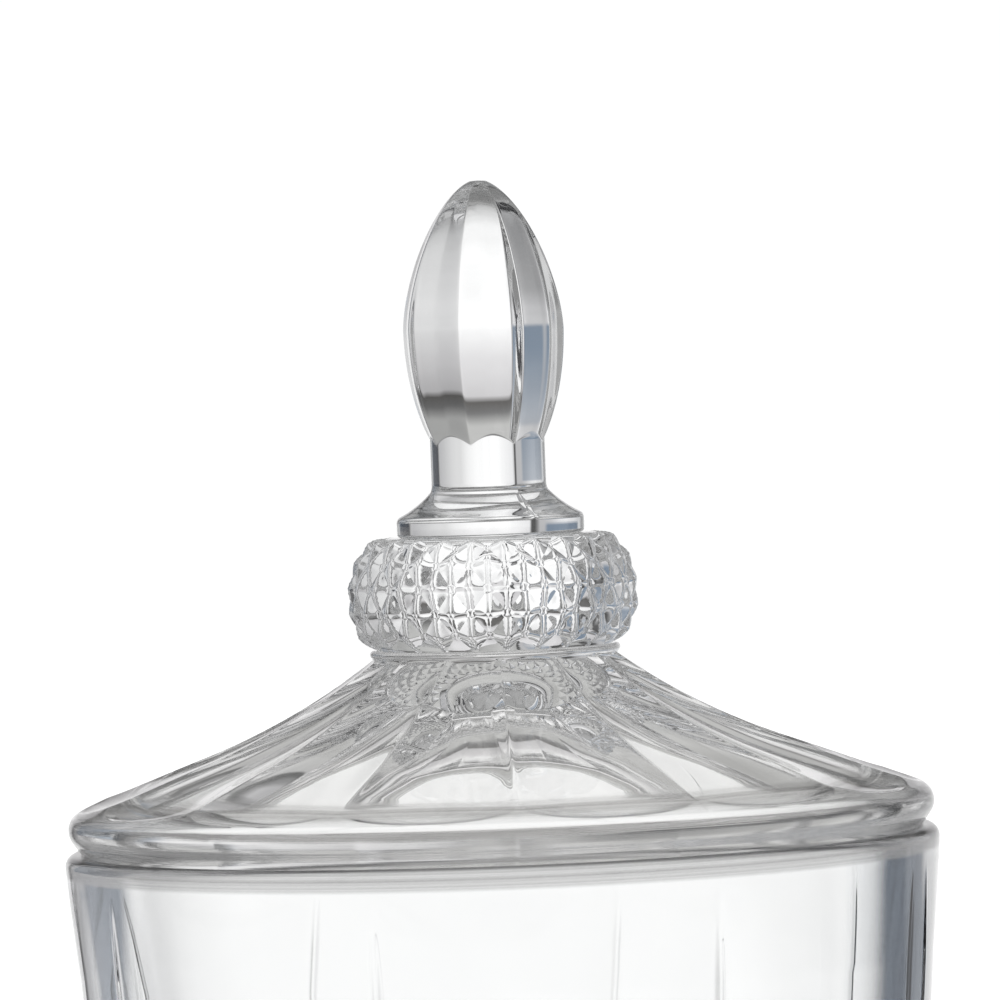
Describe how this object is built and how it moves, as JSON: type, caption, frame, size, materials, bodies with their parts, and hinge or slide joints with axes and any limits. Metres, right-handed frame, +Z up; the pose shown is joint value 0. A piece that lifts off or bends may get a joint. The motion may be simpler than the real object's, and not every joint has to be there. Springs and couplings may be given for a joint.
{
  "type": "apothecary jar",
  "caption": "Clear pressed-glass apothecary jar: panelled bowl on a diamond-cut knop and fluted foot, with a lift-off fluted lid topped by a diamond-cut knop and a faceted bud.",
  "frame": {"origin": "on the jar's axis at the table, under the middle of the foot", "axes": "+Z up along the jar's axis, +X through the mould seam of jar and lid"},
  "size_m": [0.15, 0.15, 0.3528],
  "materials": {
    "foot": "clear fire-polished pressed glass",
    "foot_knop": "clear diamond-cut glass",
    "bowl": "clear fire-polished pressed glass",
    "lid_dome": "clear fire-polished pressed glass",
    "lid_knop": "clear diamond-cut glass",
    "lid_finial": "clear fire-polished pressed glass",
    "lid_seal": "clear soft silicone"
  },
  "bodies": {
    "jar": {"foot": "foot", "foot_knop": "foot_knop", "bowl": "bowl"},
    "seal": {"lid_seal": "lid_seal"},
    "lid": {"lid_dome": "lid_dome", "lid_knop": "lid_knop", "lid_finial": "lid_finial"}
  },
  "joints": [
    {"name": "lid_lift", "type": "slide", "parent": "jar", "child": "seal", "axis": [0, 0, 1], "range_m": [0, 0.03]},
    {"name": "lid_turn", "type": "hinge", "parent": "seal", "child": "lid", "pos_m": [0, 0, 0.24], "axis": [0, 0, 1], "continuous": true}
  ]
}
